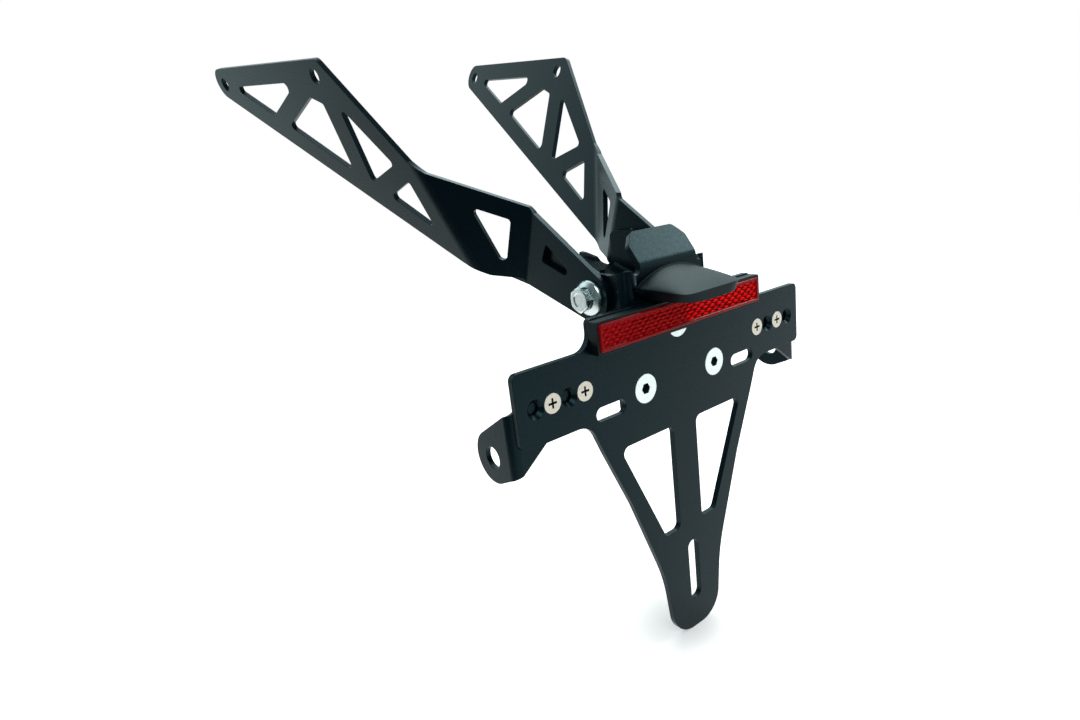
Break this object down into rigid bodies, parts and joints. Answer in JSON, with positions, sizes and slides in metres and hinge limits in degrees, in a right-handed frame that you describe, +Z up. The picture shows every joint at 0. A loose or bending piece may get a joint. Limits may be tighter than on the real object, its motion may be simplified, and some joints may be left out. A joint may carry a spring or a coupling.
{
  "type": "tail tidy",
  "caption": "Folded black sheet arms hold a plate carrier with a tilting centre bracket, a plate lamp, a red reflector and side brackets for indicators.",
  "frame": {"origin": "on the carrier's rear face, which the number plate lies on, midway between the two level slots for its screws", "axes": "+X to the right as seen from behind the bike, +Y forward along the bike from the plate's face, +Z up the plate"},
  "size_m": [0.1744, 0.2723, 0.2818],
  "materials": {
    "black_sheet": "satin black powder coat",
    "black_plastic": "moulded matt black",
    "red_lens": "clear red moulding with prisms at its back",
    "clear_lens": "clear moulding",
    "zinc": "bright zinc",
    "stainless": "plain stainless",
    "board": "white board varnish",
    "rubber": "matt black"
  },
  "bodies": {
    "arms": {"left_arm": "black_sheet", "right_arm": "black_sheet", "pivot_bolt_left": "zinc", "pivot_washer_left": "zinc", "pivot_nut_left": "zinc", "pivot_bolt_right": "zinc", "pivot_washer_right": "zinc", "pivot_nut_right": "zinc"},
    "plate_holder": {"centre_bracket": "black_sheet", "plate_carrier": "black_sheet", "left_indicator_bracket": "black_sheet", "right_indicator_bracket": "black_sheet", "lamp_housing": "black_plastic", "reflector_base": "black_plastic", "reflector_lens": "red_lens", "lamp_lens": "clear_lens", "lamp_board": "board", "cable_grommet": "rubber", "lamp_screw_left": "zinc", "indicator_screw_left_inner": "stainless", "indicator_nut_left_inner": "zinc", "indicator_screw_left_outer": "stainless", "indicator_nut_left_outer": "zinc", "lamp_screw_right": "zinc", "indicator_screw_right_inner": "stainless", "indicator_nut_right_inner": "zinc", "indicator_screw_right_outer": "stainless", "indicator_nut_right_outer": "zinc", "plate_screw_left": "zinc", "plate_nut_left": "zinc", "plate_screw_right": "zinc", "plate_nut_right": "zinc", "plate_screw_top": "zinc", "plate_nut_top": "zinc"}
  },
  "joints": [
    {"name": "plate_tilt", "type": "hinge", "parent": "arms", "child": "plate_holder", "pos_m": [0, 0.0215, 0.0392], "axis": [1, 0, 0], "range_deg": [-12, 12]}
  ]
}
